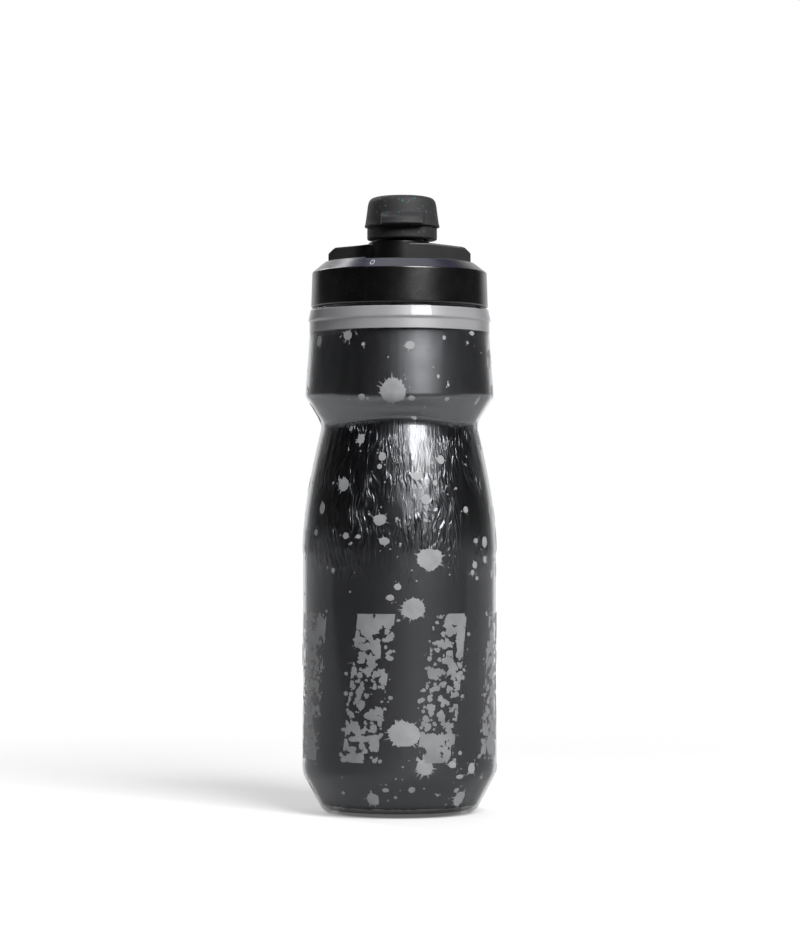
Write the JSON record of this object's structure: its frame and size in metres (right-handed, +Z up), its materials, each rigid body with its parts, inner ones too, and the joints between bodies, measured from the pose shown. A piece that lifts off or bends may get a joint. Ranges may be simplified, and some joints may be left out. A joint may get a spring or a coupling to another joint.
{
  "type": "insulated squeeze bottle",
  "caption": "Insulated squeeze water bottle for a bicycle cage, with a grip waist, screw lid, turning lock dial and a soft hinged cap over its nozzle.",
  "frame": {"origin": "centre of the ring that the bottle stands on, at floor level", "axes": "+Z up along the bottle's axis; -Y is the front, the side of the cap's thumb tab; +X is to the right seen from the front"},
  "size_m": [0.074, 0.074, 0.2352],
  "materials": {
    "clear_wall": "clear, slightly frosted",
    "milky_plastic": "translucent milky grey",
    "dark_foil": "dark metallised film, crinkled",
    "foam": "closed-cell foam",
    "lid_gloss": "glossy black",
    "dial_satin": "satin black",
    "speckled_rubber": "matte charcoal with teal and copper flecks",
    "silicone": "soft translucent silicone",
    "clip_plastic": "hard white plastic"
  },
  "bodies": {
    "bottle": {"outer_shell": "clear_wall", "inner_bottle": "milky_plastic", "neck_ring": "milky_plastic", "insulation_collar": "dark_foil", "reflective_film": "dark_foil", "foam_sleeve": "foam", "base_pad": "foam"},
    "seal": {"lid_seal": "silicone"},
    "lid": {"lid_cap": "lid_gloss", "valve_housing": "dial_satin", "port_seal": "silicone"},
    "dial": {"lock_dial": "dial_satin", "dial_o_ring": "silicone", "dial_clip": "clip_plastic", "nozzle_sleeve": "silicone", "valve_retainer": "dial_satin", "jet_valve": "silicone", "mud_cap_collar": "speckled_rubber", "mud_cap_strap": "speckled_rubber"},
    "cap": {"mud_cap": "speckled_rubber"}
  },
  "joints": [
    {"name": "lid_lift", "type": "slide", "parent": "bottle", "child": "seal", "axis": [0, 0, 1], "range_m": [0, 0.0062]},
    {"name": "lid_turn", "type": "hinge", "parent": "seal", "child": "lid", "pos_m": [0, 0, 0.2], "axis": [0, 0, 1], "range_deg": [0, 540]},
    {"name": "dial_turn", "type": "hinge", "parent": "lid", "child": "dial", "pos_m": [0, 0, 0.21], "axis": [0, 0, -1], "range_deg": [0, 110]},
    {"name": "cap_flip", "type": "hinge", "parent": "dial", "child": "cap", "pos_m": [0.0007, 0.0174, 0.223], "axis": [-1, 0, 0], "range_deg": [0, 135], "deforming": ["mud_cap_strap"]}
  ],
  "couplings": [
    {"joint": "lid_lift", "follows": "lid_turn", "m_per_rad": 0.00063662}
  ]
}
